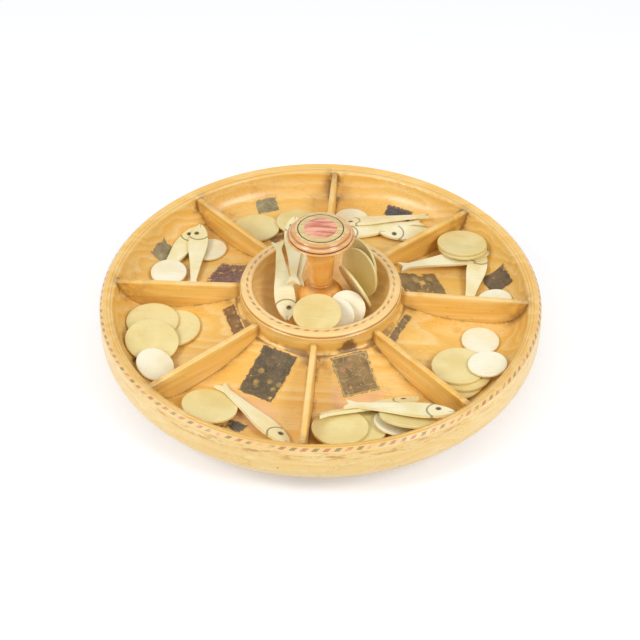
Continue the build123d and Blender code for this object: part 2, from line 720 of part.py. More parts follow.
BOWL_CONTENTS = [
    ("fish", -14.7, 29.5, 90.5), ("fish", -19.5, 28, 94.8), ("fish", -24.7, 5, -78.5, 281.5, 12.3, 41.7),
    ("large", 24, 24.5, 0, 222, 84, 44.9), ("large", 24.4, 16.1, 0, 224, 84, 43.3),
    ("large", 21.1, 1.8, 0, 34, 68, 42.1), ("small", 17.5, -13.8, 0, 275, 47, 37.4),
    ("small", 11, -20.2, 0, 264, 43, 36.4), ("fish tail", 0, -42, -90, 270, 10, 38.8),
    ("medium", 0, -27, 0, 270, 10, 43.6),
]

# Labels: pocket, then reach along the pocket and width for the one at the hub, and
# distance from the wall, angle, reach and width for the one at the rim. Some have worn
# away.
HUB_LABELS = {1: (35, 25), 2: (28, 24.5), 3: (6, 27), 4: (31, 25), 6: (31, 25), 7: (28, 25), 8: (9, 28)}
RIM_LABELS = {1: (18, -112, 10, 15), 4: (11.5, 18, 16, 20), 5: (13.5, 66.6, 10, 21),
              6: (12.5, 113.2, 12, 17), 7: (10, 156, 12, 18), 8: (8, -154, 8, 20)}


# Put together
nodes = {}

nodes["turned_foot"] = make_foot()
nodes["bearing_washer"] = make_bearing_washer()
nodes["retaining_washer"] = make_retaining_washer()
nodes["retaining_screw"] = make_retaining_screw()

nodes["rim_banding"] = make_rim_banding()
nodes["tray"] = make_tray(nodes["rim_banding"])
nodes["hub_collar"] = make_hub_collar()
nodes["bowl_banding"] = make_bowl_banding()
nodes["bowl"] = make_bowl(nodes["bowl_banding"])
for number in range(1, POCKETS + 1):
    nodes[f"divider_{number}"] = make_divider(number - 1, nodes["tray"], nodes["hub_collar"])

screw_hole = Pos(0, 0, SPINDLE_END_H + SCREW_L / 2) * Cylinder(SCREW_R + GLUE, SCREW_L + 1)
nodes["pillar"] = make_pillar(screw_hole)
nodes["knob_centre_disc"] = make_inlay(0, DISC_R)
nodes["knob_pale_ring"] = make_inlay(DISC_R, PALE_RING_R)
nodes["knob_dark_ring"] = make_inlay(PALE_RING_R, DARK_RING_R)
nodes["knob_buff_ring"] = make_inlay(DARK_RING_R, BUFF_RING_R)
nodes["knob_edge_line"] = make_edge_line()
inlays = [node for name, node in nodes.items() if name.startswith("knob_") and name != "knob_edge_line"]
nodes["knob"] = make_knob(inlays, nodes["knob_edge_line"])

skin = make_label_skin()
for pocket, (reach, width) in HUB_LABELS.items():
    deg = -90 + STEP_DEG * (pocket - 1.5)
    middle_r = HUB_LABEL_START_R + reach / 2
    nodes[f"hub_label_{pocket}"] = make_label(skin, middle_r, deg, reach, width)
for pocket, (from_wall, deg, reach, width) in RIM_LABELS.items():
    nodes[f"rim_label_{pocket}"] = make_label(skin, INNER_R - from_wall, deg, reach, width)

fish = make_fish()
solids = {
    "large": make_disc(LARGE_R, COUNTER_T),
    "medium": make_disc(MEDIUM_R, COUNTER_T),
    "small": make_disc(SMALL_R, SMALL_T),
    "fish": fish,
    "fish head": break_fish(fish, True),
    "fish tail": break_fish(fish, False),
}
groups = {"large": "large_counters", "medium": "medium_counter", "small": "small_counters",
          "fish": "fish", "fish head": "fish", "fish tail": "broken_tail"}
heaps = {}


def spot_in_tray(x, y):
    """A place in a pocket, spread with the tray."""
    share = INNER_R / PLACES_INNER_R
    return x * share, y * share


def spot_in_bowl(x, y):
    """A place in the bowl, which moves out or in with the bowl's wall."""
    share = 1 + (BOWL_OPEN_R - PLACES_OPEN_R) / math.hypot(x, y)
    return x * share, y * share


def fill(place, contents, spot):
    """Lay one pocket's counters from the bottom up. Steep ones have their own height."""
    laid = []
    for kind, x, y, *how in contents:
        plate = Plate(kind, *spot(x, y), *how)
        if plate.z == 0:
            plate.lay(laid)
        else:
            plate.z += BOWL_TOP_H - PLACES_TOP_H
        laid.append(plate)
        heaps.setdefault(f"{groups[kind]}_{place}", []).append(plate.place(solids[kind]))


for pocket, contents in POCKET_CONTENTS.items():
    fill(pocket, contents, spot_in_tray)
fill("bowl", BOWL_CONTENTS, spot_in_bowl)
for name, pieces in heaps.items():
    nodes[name] = pieces[0] if len(pieces) == 1 else Compound(children=pieces)

os.makedirs("parts", exist_ok=True)
for name, shape in nodes.items():
    shape.label = name
    export_step(shape, f"parts/{name}.step")
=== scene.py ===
# %% [markdown]
# # A pope joan board, dressed for the camera
#
# A pope joan board is a round wooden tray for a card game. It turns on a low foot, and its
# pockets hold the stakes: bone counters and fish. The turned, jointed model is made already.
# This lesson gives it its finishes: old varnished wood, dyed bandings, paper labels and bone.

# %% Load the model
import bpy
import bmesh
import json
import math
from mathutils import Matrix, Vector

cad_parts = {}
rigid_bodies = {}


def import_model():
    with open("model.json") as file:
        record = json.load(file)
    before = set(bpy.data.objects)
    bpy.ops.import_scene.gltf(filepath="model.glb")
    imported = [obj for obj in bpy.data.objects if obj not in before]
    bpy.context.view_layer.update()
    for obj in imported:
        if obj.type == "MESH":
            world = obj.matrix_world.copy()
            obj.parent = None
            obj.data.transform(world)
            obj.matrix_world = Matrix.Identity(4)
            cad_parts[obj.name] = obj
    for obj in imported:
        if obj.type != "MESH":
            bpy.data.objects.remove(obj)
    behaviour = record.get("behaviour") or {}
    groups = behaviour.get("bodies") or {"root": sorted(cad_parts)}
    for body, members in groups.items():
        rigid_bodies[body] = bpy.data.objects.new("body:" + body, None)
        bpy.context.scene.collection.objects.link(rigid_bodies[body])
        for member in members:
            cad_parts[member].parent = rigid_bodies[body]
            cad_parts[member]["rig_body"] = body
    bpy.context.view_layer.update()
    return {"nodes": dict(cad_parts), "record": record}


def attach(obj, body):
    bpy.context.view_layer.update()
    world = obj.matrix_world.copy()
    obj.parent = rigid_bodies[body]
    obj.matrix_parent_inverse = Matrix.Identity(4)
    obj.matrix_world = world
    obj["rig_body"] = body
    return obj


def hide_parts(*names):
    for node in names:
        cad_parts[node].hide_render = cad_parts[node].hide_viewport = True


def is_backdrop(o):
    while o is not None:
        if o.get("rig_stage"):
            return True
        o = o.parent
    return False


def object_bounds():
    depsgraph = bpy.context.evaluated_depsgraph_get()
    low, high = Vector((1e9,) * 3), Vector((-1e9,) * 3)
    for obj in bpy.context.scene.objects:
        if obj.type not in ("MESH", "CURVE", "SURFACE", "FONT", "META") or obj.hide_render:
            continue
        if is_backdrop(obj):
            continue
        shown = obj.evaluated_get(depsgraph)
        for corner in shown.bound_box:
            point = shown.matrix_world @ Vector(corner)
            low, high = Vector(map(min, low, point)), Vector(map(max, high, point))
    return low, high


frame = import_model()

nodes = frame["nodes"]
record = frame["record"]

# %% [markdown]
# ## A few short words for building materials
#
# Every finish here is a small network of nodes. Typing each link out would hide what a
# finish is, so a few helpers make a node, set its sockets and hand back its output. They
# all read Object coordinates. The model's frame is in metres with the pillar on its Z
# axis, so a distance from that axis tells the rim from the floor and from the hub.

# %% Helpers for node networks
def finish_named(name):
    """An empty material with its shader, ready for a network."""
    material = bpy.data.materials.new(name)
    material.use_nodes = True
    return material, material.node_tree, material.node_tree.nodes["Principled BSDF"]


def feed(tree, socket, value):
    """Link an output to a socket, or write a plain value into it."""
    if isinstance(value, bpy.types.NodeSocket):
        tree.links.new(value, socket)
    elif isinstance(value, (tuple, list)) and len(value) == 3 and socket.type == "RGBA":
        socket.default_value = (*value, 1.0)
    else:
        socket.default_value = value


def sums(tree, operation, a, b=0.0, c=0.0, clamp=False):
    """One Math node."""
    node = tree.nodes.new("ShaderNodeMath")
    node.operation = operation
    node.use_clamp = clamp
    for socket, value in zip(node.inputs, (a, b, c)):
        feed(tree, socket, value)
    return node.outputs[0]


def step_up(tree, value, low, high):
    """0 below low, 1 above high, and a smooth rise between them."""
    node = tree.nodes.new("ShaderNodeMapRange")
    node.interpolation_type = "SMOOTHSTEP"
    feed(tree, node.inputs["Value"], value)
    feed(tree, node.inputs["From Min"], low)
    feed(tree, node.inputs["From Max"], high)
    return node.outputs["Result"]


def band(tree, value, low, high, soft):
    """1 between low and high, with soft edges."""
    up = step_up(tree, value, low - soft, low + soft)
    down = step_up(tree, value, high - soft, high + soft)
    return sums(tree, "SUBTRACT", up, down, clamp=True)


def blend_colours(tree, share, first, second, kind="MIX"):
    """The first colour where share is 0 and the second where it is 1."""
    node = tree.nodes.new("ShaderNodeMix")
    node.data_type = "RGBA"
    node.blend_type = kind
    feed(tree, node.inputs["Factor"], share)
    feed(tree, node.inputs["A"], first)
    feed(tree, node.inputs["B"], second)
    return node.outputs["Result"]


def shades(tree, value, stops):
    """A colour ramp from a list of positions and colours."""
    node = tree.nodes.new("ShaderNodeValToRGB")
    ramp = node.color_ramp
    while len(ramp.elements) < len(stops):
        ramp.elements.new(0.5)
    for element, (position, colour) in zip(ramp.elements, stops):
        element.position = position
        element.color = (*colour, 1.0)
    feed(tree, node.inputs["Fac"], value)
    return node.outputs["Color"]


def placed(tree, stretch=(1, 1, 1), turn=(0, 0, 0), move=(0, 0, 0)):
    """Object coordinates, moved, turned and stretched."""
    where = tree.nodes.new("ShaderNodeTexCoord").outputs["Object"]
    node = tree.nodes.new("ShaderNodeMapping")
    node.vector_type = "POINT"
    feed(tree, node.inputs["Vector"], where)
    node.inputs["Location"].default_value = move
    node.inputs["Rotation"].default_value = turn
    node.inputs["Scale"].default_value = stretch
    return node.outputs["Vector"]


def cloudy(tree, where, size, detail=3.0, rough=0.5, warp=0.0):
    """Soft noise whose lumps are about this many metres across."""
    node = tree.nodes.new("ShaderNodeTexNoise")
    feed(tree, node.inputs["Vector"], where)
    node.inputs["Scale"].default_value = 1.0 / size
    node.inputs["Detail"].default_value = detail
    node.inputs["Roughness"].default_value = rough
    node.inputs["Distortion"].default_value = warp
    return node.outputs["Fac"]


def cells(tree, where, size, output="Distance", feature="F1"):
    """Scattered cells, for pits and specks."""
    node = tree.nodes.new("ShaderNodeTexVoronoi")
    node.feature = feature
    feed(tree, node.inputs["Vector"], where)
    node.inputs["Scale"].default_value = 1.0 / size
    return node.outputs[output]


def round_the_pillar(tree):
    """Radius from the pillar, angle round it in radians, and height, in metres."""
    where = tree.nodes.new("ShaderNodeTexCoord").outputs["Object"]
    parts = tree.nodes.new("ShaderNodeSeparateXYZ")
    feed(tree, parts.inputs[0], where)
    x, y, z = parts.outputs
    radius = sums(tree, "SQRT", sums(tree, "ADD", sums(tree, "MULTIPLY", x, x), sums(tree, "MULTIPLY", y, y)))
    return radius, sums(tree, "ARCTAN2", y, x), z


def bumped(tree, shader, height, distance, strength=1.0):
    """Raise the surface by a height between 0 and 1 times a distance in metres."""
    node = tree.nodes.new("ShaderNodeBump")
    node.inputs["Strength"].default_value = strength
    node.inputs["Distance"].default_value = distance
    feed(tree, node.inputs["Height"], height)
    feed(tree, shader.inputs["Normal"], node.outputs["Normal"])


def srgb(code):
    """A colour as it looks on a screen, such as E8B458, turned into light."""
    values = [int(code[i:i + 2], 16) / 255 for i in (0, 2, 4)]
    return tuple(v / 12.92 if v <= 0.04045 else ((v + 0.055) / 1.055) ** 2.4 for v in values)


def dress(material, *names):
    """Put one finish on CAD nodes, in place of their plain colour."""
    for name in names:
        slots = nodes[name].material_slots
        if len(slots) == 0:
            nodes[name].data.materials.append(material)
        for slot in slots:
            slot.material = material
    print(material.name, "on", len(names), "nodes")


# %% [markdown]
# ## Old varnished wood
#
# The tray is turned from wide boards of a pale, close-grained wood, long since gone the
# colour of honey under its varnish. Three things make it wood and not orange plastic: the
# yearly layers, which cut the surface in broad flames; the fine fibres, all one way; and a
# slow change of colour from board to board. All three are solid patterns, so the grain
# runs through from the floor over the rim and down the outside, as it does in a turning.

# %% Grain
def grain(tree, along="x", layer=0.006, seed=0.0):
    """Yearly layers and fibres of a board, both between 0 and 1."""
    turn = {"x": (0, 0, 0), "y": (0, 0, math.radians(90)), "z": (0, math.radians(90), 0)}[along]
    long_way = placed(tree, (0.12, 1, 1), turn, (seed, seed * 0.7, seed * 0.3))
    drift = cloudy(tree, long_way, 0.03, 2.0)
    split = tree.nodes.new("ShaderNodeSeparateXYZ")
    feed(tree, split.inputs[0], long_way)
    tilt = sums(tree, "ADD", sums(tree, "MULTIPLY", split.outputs[1], 0.35), split.outputs[2])
    wavy = sums(tree, "ADD", sums(tree, "DIVIDE", tilt, layer), sums(tree, "MULTIPLY", drift, 5.0))
    layers = sums(tree, "FRACT", wavy)
    layers = sums(tree, "MULTIPLY", layers, sums(tree, "SUBTRACT", 1.0, sums(tree, "POWER", layers, 7.0)))
    fibres = cloudy(tree, placed(tree, (0.03, 1, 1), turn, (seed, 0, 0)), 0.0011, 3.0, 0.6)
    return layers, fibres


def wood(name, pale, warm, deep, along="x", layer=0.006, seed=0.0, rough=0.36, coat=0.35):
    """Varnished wood. Returns the material and what a piece needs to add its own marks."""
    material, tree, shader = finish_named(name)
    layers, fibres = grain(tree, along, layer, seed)
    colour = shades(tree, layers, [(0.0, pale), (0.6, warm), (1.0, blend3(warm, deep, 0.45))])
    streak = step_up(tree, fibres, 0.35, 0.75)
    colour = blend_colours(tree, sums(tree, "MULTIPLY", streak, 0.28), colour, deep)
    slow = step_up(tree, cloudy(tree, placed(tree, move=(seed, 0, seed)), 0.045, 2.0), 0.3, 0.75)
    colour = blend_colours(tree, sums(tree, "MULTIPLY", slow, 0.22), colour, deep)
    shader.inputs["Roughness"].default_value = rough
    shader.inputs["Coat Weight"].default_value = coat
    shader.inputs["Coat Roughness"].default_value = 0.16
    shader.inputs["Coat IOR"].default_value = 1.5
    feed(tree, shader.inputs["Base Color"], colour)
    bumped(tree, shader, sums(tree, "ADD", sums(tree, "MULTIPLY", fibres, 0.6), layers), 0.00006)
    return material, tree, shader, colour


def blend3(a, b, share):
    return tuple(x + (y - x) * share for x, y in zip(a, b))


HONEY_PALE = srgb("FBD88E")
HONEY = srgb("F5C564")
HONEY_DEEP = srgb("D8983C")
DIRT = srgb("6B4526")

# %% [markdown]
# ## The tray's own marks
#
# Hands, coins and two hundred years have marked the tray. The outside has bleached to
# straw. Dirt has gathered where the dividers meet the floor and wall, and where the collar
# stands in the floor. The floor in front has lost its varnish in pinkish patches, and
# furniture beetle has left pits on the outside. Each mark is a mask: radius and height
# pick the place, and noise breaks its edge.

# %% The tray
def divider_distance(tree, radius, angle, pockets=8):
    """Distance from the middle of the nearest divider, in metres."""
    share = sums(tree, "DIVIDE", sums(tree, "ADD", angle, math.radians(90)), 2 * math.pi / pockets)
    off = sums(tree, "SUBTRACT", share, sums(tree, "ROUND", share))
    sideways = sums(tree, "SINE", sums(tree, "MULTIPLY", off, 2 * math.pi / pockets))
    return sums(tree, "ABSOLUTE", sums(tree, "MULTIPLY", radius, sideways))


def patch(tree, x, y, size, edge=0.5, ragged=0.012, z=0.025):
    """A worn patch round a point, ragged at its edge."""
    where = tree.nodes.new("ShaderNodeTexCoord").outputs["Object"]
    gap = tree.nodes.new("ShaderNodeVectorMath")
    gap.operation = "DISTANCE"
    feed(tree, gap.inputs[0], where)
    gap.inputs[1].default_value = (x, y, z)
    torn = sums(tree, "MULTIPLY", sums(tree, "SUBTRACT", cloudy(tree, placed(tree), ragged, 4.0, 0.65), 0.5), size * 1.2)
    reach = sums(tree, "ADD", gap.outputs["Value"], torn)
    return sums(tree, "SUBTRACT", 1.0, step_up(tree, reach, size * (1 - edge), size), clamp=True)


material, tree, shader, colour = wood("tray wood", HONEY_PALE, HONEY, HONEY_DEEP, "x", 0.0075, 0.31)
radius, angle, height = round_the_pillar(tree)

outside = step_up(tree, radius, 0.1376, 0.1392)
colour = blend_colours(tree, sums(tree, "MULTIPLY", outside, 0.5), colour, srgb("F4D68E"))
rubs = step_up(tree, cloudy(tree, placed(tree, (0.7, 0.7, 3.5)), 0.012, 5.0, 0.7), 0.5, 0.68)
colour = blend_colours(tree, sums(tree, "MULTIPLY", sums(tree, "MULTIPLY", rubs, outside), 0.35), colour, srgb("FBEBC0"))
specks = step_up(tree, cloudy(tree, placed(tree, (1, 1, 2), move=(0.1, 0.3, 0)), 0.0022, 3.0, 0.6), 0.62, 0.7)
colour = blend_colours(tree, sums(tree, "MULTIPLY", sums(tree, "MULTIPLY", specks, outside), 0.3), colour, srgb("A86E34"))
front = sums(tree, "SUBTRACT", 1.0, step_up(tree, sums(tree, "SINE", angle), -0.95, -0.5))
high = band(tree, height, 0.0350, 0.0400, 0.0015)
streaks = step_up(tree, cloudy(tree, placed(tree, (0.6, 0.6, 3)), 0.007, 5.0, 0.7), 0.5, 0.62)
streaks = sums(tree, "MULTIPLY", sums(tree, "MULTIPLY", streaks, high), sums(tree, "MULTIPLY", front, outside))
colour = blend_colours(tree, sums(tree, "MULTIPLY", streaks, 0.7), colour, srgb("B87426"))
rim = band(tree, radius, 0.1312, 0.1376, 0.0004)
colour = blend_colours(tree, sums(tree, "MULTIPLY", rim, 0.3), colour, srgb("F6D28A"))
scribed = band(tree, radius, 0.1324, 0.1330, 0.0003)
colour = blend_colours(tree, sums(tree, "MULTIPLY", scribed, 0.3), colour, srgb("8A5C2C"))

by_divider = sums(tree, "SUBTRACT", 1.0, step_up(tree, divider_distance(tree, radius, angle), 0.0019, 0.0048))
inside = band(tree, radius, 0.0525, 0.1311, 0.0003)
crumbs = step_up(tree, cloudy(tree, placed(tree), 0.009, 4.0, 0.65), 0.38, 0.62)
dirt = sums(tree, "MULTIPLY", sums(tree, "MULTIPLY", by_divider, inside), crumbs)
at_ends = sums(tree, "ADD", band(tree, radius, 0.052, 0.060, 0.003), band(tree, radius, 0.119, 0.132, 0.004), clamp=True)
near_ends = sums(tree, "SUBTRACT", 1.0, step_up(tree, divider_distance(tree, radius, angle), 0.002, 0.0105))
ends = sums(tree, "MULTIPLY", sums(tree, "MULTIPLY", near_ends, at_ends), crumbs)
at_hub = sums(tree, "MULTIPLY", band(tree, radius, 0.0525, 0.0545, 0.0008), 0.8)
dirt = sums(tree, "ADD", sums(tree, "ADD", dirt, ends), at_hub, clamp=True)
seam = sums(tree, "SUBTRACT", 1.0, step_up(tree, divider_distance(tree, radius, angle), 0.0020, 0.0029))
dirt = sums(tree, "MAXIMUM", dirt, sums(tree, "MULTIPLY", sums(tree, "MULTIPLY", seam, inside), 0.75))
colour = blend_colours(tree, sums(tree, "MULTIPLY", dirt, 0.72), colour, DIRT)
grit = step_up(tree, cloudy(tree, placed(tree, move=(0.3, 0.2, 0.1)), 0.0016, 3.0, 0.6), 0.6, 0.7)
gritty = step_up(tree, cloudy(tree, placed(tree, move=(0.6, 0.3, 0.1)), 0.022, 3.0), 0.42, 0.65)
grit = sums(tree, "MULTIPLY", sums(tree, "MULTIPLY", grit, gritty), inside)
colour = blend_colours(tree, sums(tree, "MULTIPLY", grit, 0.35), colour, srgb("8A5526"))
stain = step_up(tree, cloudy(tree, placed(tree, move=(0.7, 0.2, 0.1)), 0.019, 5.0, 0.7), 0.55, 0.75)
colour = blend_colours(tree, sums(tree, "MULTIPLY", sums(tree, "MULTIPLY", stain, inside), 0.4), colour, srgb("B8762E"))

worn = sums(tree, "ADD", patch(tree, -0.036, -0.092, 0.021, 0.25, 0.006), patch(tree, 0.028, -0.078, 0.018, 0.25, 0.006),
            clamp=True)
colour = blend_colours(tree, sums(tree, "MULTIPLY", worn, 0.55), colour, srgb("E8AE86"))

pits = cells(tree, placed(tree, (1, 1, 1.3)), 0.0085)
pit = sums(tree, "SUBTRACT", 1.0, step_up(tree, pits, 0.0004 / 0.0085, 0.0007 / 0.0085))
some = step_up(tree, cloudy(tree, placed(tree, move=(0.2, 0.1, 0)), 0.03, 1.0), 0.52, 0.6)
pit = sums(tree, "MULTIPLY", sums(tree, "MULTIPLY", pit, some), outside)
colour = blend_colours(tree, sums(tree, "MULTIPLY", pit, 0.8), colour, DIRT)
crack = sums(tree, "ABSOLUTE", sums(tree, "SUBTRACT", cloudy(tree, placed(tree, (1, 1, 2.2), move=(0.5, 0.1, 0)), 0.02, 6.0, 0.75), 0.5))
scratch = sums(tree, "SUBTRACT", 1.0, step_up(tree, crack, 0.004, 0.012))
few = step_up(tree, cloudy(tree, placed(tree, move=(0.1, 0.6, 0)), 0.02, 2.0), 0.56, 0.66)
scratch = sums(tree, "MULTIPLY", sums(tree, "MULTIPLY", scratch, few), outside)
colour = blend_colours(tree, sums(tree, "MULTIPLY", scratch, 0.45), colour, srgb("A5702F"))
feed(tree, shader.inputs["Base Color"], colour)
tray_wood = material
dress(tray_wood, "tray")

# %% [markdown]
# ## The collar, the bowl and the foot
#
# These are separate turnings, from other pieces of the same wood. The collar's grain shows
# as it does on a ring: end grain and side grain take turns. Inside the bowl, painted shade
# darkens the colour a little towards the bottom.

# %% Collar, bowl and foot
material, tree, shader, colour = wood("collar wood", HONEY_PALE, HONEY, HONEY_DEEP, "x", 0.006, 0.77)
radius, angle, height = round_the_pillar(tree)
low = sums(tree, "SUBTRACT", 1.0, step_up(tree, height, 0.0335, 0.0375))
grime = step_up(tree, cloudy(tree, placed(tree, move=(0.3, 0, 0)), 0.011, 3.0), 0.45, 0.62)
colour = blend_colours(tree, sums(tree, "MULTIPLY", sums(tree, "MULTIPLY", low, grime), 0.7), colour, DIRT)
quirk = step_up(tree, height, 0.0442, 0.0449)
colour = blend_colours(tree, sums(tree, "MULTIPLY", quirk, 0.75), colour, srgb("8A5A34"))
spill = patch(tree, 0.0215, -0.0500, 0.0085, 0.4, 0.005, 0.035)
colour = blend_colours(tree, sums(tree, "MULTIPLY", spill, 0.8), colour, srgb("5A3218"))
feed(tree, shader.inputs["Base Color"], colour)
dress(material, "hub_collar")

material, tree, shader, colour = wood("bowl wood", srgb("FFE4A0"), srgb("FCD282"), srgb("E8B060"), "x", 0.007, 1.3)
radius, angle, height = round_the_pillar(tree)
bead = step_up(tree, height, 0.0449, 0.0462)
colour = blend_colours(tree, sums(tree, "MULTIPLY", bead, 0.55), colour, srgb("F6CE8C"))
# Painted shade: the bowl's colour is darkened towards its bottom, standing in for shade.
deep = sums(tree, "SUBTRACT", 1.0, step_up(tree, height, 0.027, 0.044))
colour = blend_colours(tree, sums(tree, "MULTIPLY", deep, 0.12), colour, srgb("C98A3C"))
feed(tree, shader.inputs["Base Color"], colour)
dress(material, "bowl")

material, tree, shader, colour = wood("foot wood", srgb("E3B06A"), srgb("D29A52"), srgb("A86E30"), "y", 0.008, 2.1, 0.5, 0.1)
dress(material, "turned_foot")

# %% [markdown]
# ## Dividers, pillar and knob
#
# The dividers are thin boards on edge, so their grain runs along them, from hub to wall.
# One pattern can't do that for eight directions, so each divider gets its own copy with the
# pattern turned to lie along it. The pillar was turned with its grain upright.

# %% Dividers
STAIN_STARTS = (0.122, 0.112, 0.108, 0.100, 0.110, 0.105, 0.100, 0.116)  # where each outer end turns dark


def divider_wood(number):
    """Wood whose grain runs along one divider, darker at its ends and worn paler along the top edge."""
    turn = math.radians(-90 + 45 * (number - 1))
    material, tree, shader = finish_named(f"divider wood {number}")
    along = placed(tree, (1, 1, 1), (0, 0, -turn))
    stretched = tree.nodes.new("ShaderNodeVectorMath")
    stretched.operation = "MULTIPLY"
    feed(tree, stretched.inputs[0], along)
    stretched.inputs[1].default_value = (0.06, 1, 1)
    moved = tree.nodes.new("ShaderNodeVectorMath")
    feed(tree, moved.inputs[0], stretched.outputs[0])
    moved.inputs[1].default_value = (number * 0.37, 0, number * 0.11)
    fibres = cloudy(tree, moved.outputs[0], 0.0016, 3.0, 0.6)
    streaks = cloudy(tree, moved.outputs[0], 0.006, 2.0)
    colour = shades(tree, streaks, [(0.25, HONEY_PALE), (0.5, HONEY), (0.8, blend3(HONEY, HONEY_DEEP, 0.7))])
    colour = blend_colours(tree, sums(tree, "MULTIPLY", step_up(tree, fibres, 0.4, 0.75), 0.3), colour, HONEY_DEEP)
    radius, angle, height = round_the_pillar(tree)
    top = step_up(tree, height, 0.0388, 0.0403)
    rubbed = step_up(tree, cloudy(tree, placed(tree, move=(number, 0, 0)), 0.012, 3.0), 0.4, 0.65)
    colour = blend_colours(tree, sums(tree, "MULTIPLY", sums(tree, "MULTIPLY", top, rubbed), 0.5), colour, srgb("F9DCA0"))
    patchy = step_up(tree, cloudy(tree, placed(tree, move=(0, number, 0)), 0.009, 5.0, 0.7), 0.36, 0.6)
    outer = sums(tree, "MULTIPLY", step_up(tree, radius, STAIN_STARTS[number - 1], 0.1300), patchy)
    ends = sums(tree, "ADD", sums(tree, "SUBTRACT", 1.0, step_up(tree, radius, 0.052, 0.0555)),
                sums(tree, "MAXIMUM", outer, step_up(tree, radius, 0.1275, 0.1302)), clamp=True)
    colour = blend_colours(tree, sums(tree, "MULTIPLY", ends, 0.5), colour, srgb("8A5522"))
    spots = sums(tree, "MULTIPLY", step_up(tree, cloudy(tree, placed(tree, move=(number, 1, 0)), 0.006, 5.0, 0.75), 0.6, 0.7), 0.35)
    colour = blend_colours(tree, spots, colour, srgb("A06C30"))
    shader.inputs["Roughness"].default_value = 0.38
    shader.inputs["Coat Weight"].default_value = 0.3
    shader.inputs["Coat Roughness"].default_value = 0.18
    feed(tree, shader.inputs["Base Color"], colour)
    bumped(tree, shader, fibres, 0.00008)
    return material


for number in range(1, 9):
    dress(divider_wood(number), f"divider_{number}")

# %% Pillar and knob
material, tree, shader, colour = wood("pillar wood", srgb("FFC76C"), srgb("F8B04A"), srgb("CB7A2C"), "z", 0.006, 0.5,
                                      0.25, 0.6)
radius, angle, height = round_the_pillar(tree)
neck = band(tree, height, 0.0445, 0.0498, 0.0008)
colour = blend_colours(tree, sums(tree, "MULTIPLY", neck, 0.45), colour, srgb("8C4F26"))
feed(tree, shader.inputs["Base Color"], colour)
dress(material, "pillar")

material, tree, shader, colour = wood("knob wood", srgb("F8C888"), srgb("EFAE66"), srgb("BE7A3C"), "x", 0.005, 0.9,
                                      0.22, 0.7)
radius, angle, height = round_the_pillar(tree)
groove = band(tree, radius, 0.0176, 0.0183, 0.0003)
colour = blend_colours(tree, sums(tree, "MULTIPLY", groove, 0.6), colour, srgb("7A4A28"))
feed(tree, shader.inputs["Base Color"], colour)
dress(material, "knob")

# %% [markdown]
# ## Veneers in the knob
#
# The top of the knob is let in with thin veneers: a disc of striped red wood, a pale ring,
# a line of black and another pale ring. They are turned flush with the knob and share its
# varnish, so they differ only in colour and figure.

# %% Knob veneers
def veneer(name, pale, dark, along="x", size=0.002, contrast=1.0):
    material, tree, shader = finish_named(name)
    turn = {"x": 0.0, "slant": math.radians(52)}[along]
    figure = cloudy(tree, placed(tree, (0.16, 1, 1), (0, 0, turn)), size, 3.0, 0.6)
    colour = blend_colours(tree, step_up(tree, figure, 0.5 - 0.2 / contrast, 0.5 + 0.2 / contrast), pale, dark)
    feed(tree, shader.inputs["Base Color"], colour)
    shader.inputs["Roughness"].default_value = 0.25
    shader.inputs["Coat Weight"].default_value = 0.6
    shader.inputs["Coat Roughness"].default_value = 0.1
    return material


dress(veneer("striped red veneer", srgb("F6B594"), srgb("C66C50"), "slant", 0.0021, 1.3), "knob_centre_disc")
dress(veneer("pale veneer", srgb("EBD49A"), srgb("CFB070")), "knob_pale_ring", "knob_buff_ring")
dress(veneer("black veneer", srgb("2A2420"), srgb("4A3C30")), "knob_dark_ring", "knob_edge_line")

# %% [markdown]
# ## Bandings
#
# A banding is a thin strip sawn from a built-up block of dyed veneers. This one is a row of
# slanted lozenges, green and red by turns, with pale wood between them. Round a circle the
# pattern is counted in angle: the angle times the number of lozenges gives a saw-tooth, and
# adding a share of the distance across the strip slants it.

# %% Bandings
def banding(name, count, middle_r, slant, ground):
    material, tree, shader = finish_named(name)
    radius, angle, height = round_the_pillar(tree)
    across = sums(tree, "SUBTRACT", radius, middle_r)
    turns = sums(tree, "MULTIPLY", angle, count / (2 * math.pi))
    place = sums(tree, "ADD", sums(tree, "ADD", turns, sums(tree, "MULTIPLY", across, slant)), 0.25)
    within = sums(tree, "FRACT", place)
    lozenge = band(tree, within, 0.22, 0.72, 0.06)
    parity = sums(tree, "FRACT", sums(tree, "MULTIPLY", sums(tree, "FLOOR", place), 0.5))
    red = step_up(tree, parity, 0.2, 0.3)
    worn = step_up(tree, cloudy(tree, placed(tree), 0.007, 3.0), 0.3, 0.55)
    dyed = blend_colours(tree, red, srgb("6F6E48"), srgb("A9644C"))
    colour = blend_colours(tree, sums(tree, "MULTIPLY", sums(tree, "MULTIPLY", lozenge, worn), 0.72), ground, dyed)
    feed(tree, shader.inputs["Base Color"], colour)
    shader.inputs["Roughness"].default_value = 0.35
    shader.inputs["Coat Weight"].default_value = 0.4
    shader.inputs["Coat Roughness"].default_value = 0.15
    return material


dress(banding("rim banding", 140, 0.1383, 260, srgb("EDC389")), "rim_banding")
dress(banding("bowl banding", 48, 0.0464, 220, srgb("EFC88E")), "bowl_banding")

# %% [markdown]
# ## Paper labels
#
# Printed papers are pasted on the floor of most pockets, one against the hub and one up the
# wall. They are so rubbed that little is left but dark grounds, sprays of flowers and torn
# edges. The sprays here are a design of its own: blossoms where scattered cells have their
# middles, and curling stems from a noise pattern cut at one level.

# %% Labels
HUB_PAPER_START = 0.0532
WALL_R = 0.131
PAPER_EDGE = 0.0011    # how far a torn edge wanders in from the paper's own


